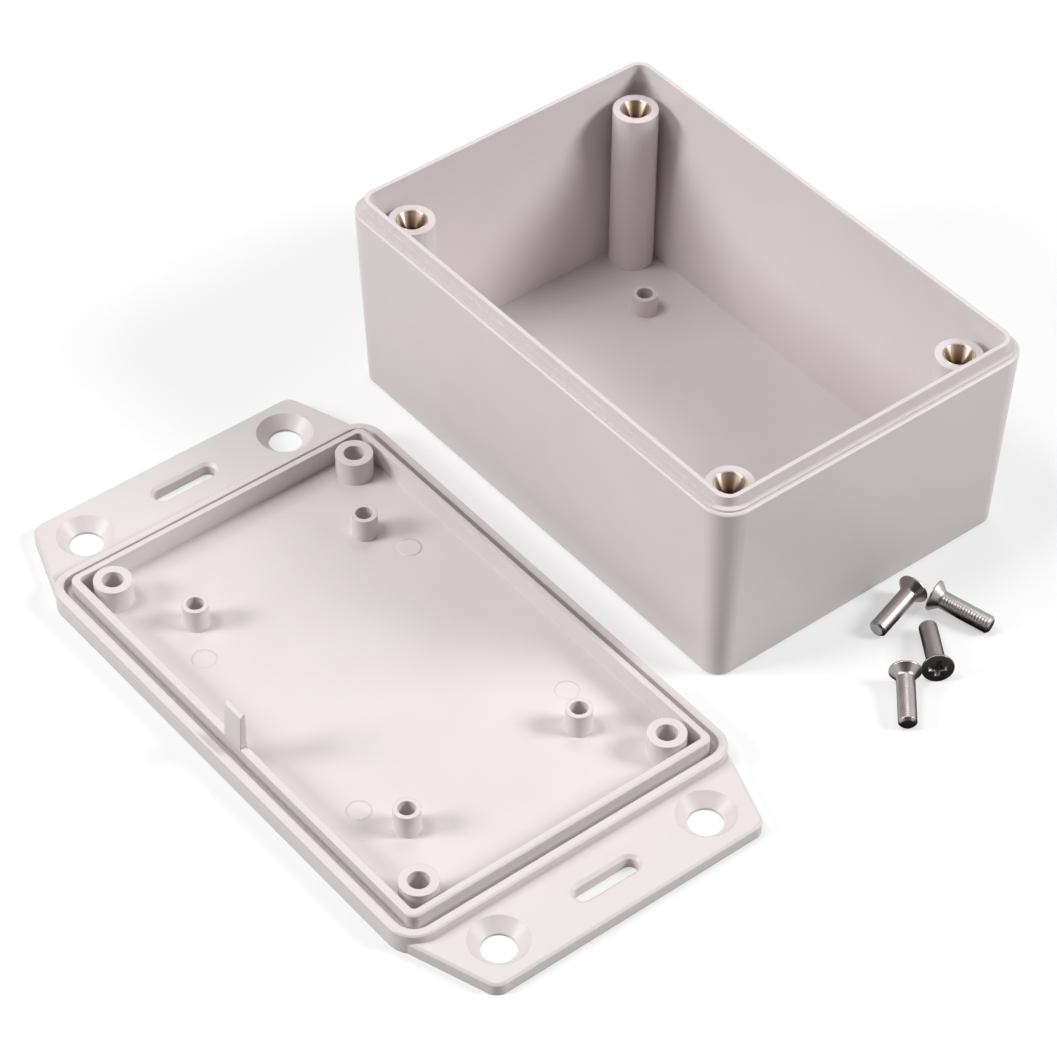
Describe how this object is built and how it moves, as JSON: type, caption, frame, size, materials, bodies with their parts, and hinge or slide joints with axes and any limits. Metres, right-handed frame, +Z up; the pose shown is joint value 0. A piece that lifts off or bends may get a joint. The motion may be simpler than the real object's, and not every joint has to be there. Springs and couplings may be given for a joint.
{
  "type": "flanged plastic enclosure",
  "caption": "Open moulded plastic box for electronics, shown apart: body with screw posts and brass inserts, flanged wall-mounting lid beside it, and its loose lid screws.",
  "frame": {"origin": "centre of the body's underside, on the table the loose pieces lie on", "axes": "+X along the body's long side, +Y along its short side away from the lid, +Z up out of the body's open mouth"},
  "size_m": [0.1089, 0.1197, 0.0343],
  "materials": {
    "plastic": "satin moulded plastic, pale warm grey",
    "brass": "turned",
    "screw_steel": "bright plated"
  },
  "bodies": {
    "root": {"enclosure_body": "plastic", "flanged_lid": "plastic", "threaded_insert_1": "brass", "threaded_insert_2": "brass", "threaded_insert_3": "brass", "threaded_insert_4": "brass", "lid_screw_1": "screw_steel", "lid_screw_2": "screw_steel", "lid_screw_3": "screw_steel", "lid_screw_4": "screw_steel"}
  },
  "joints": []
}
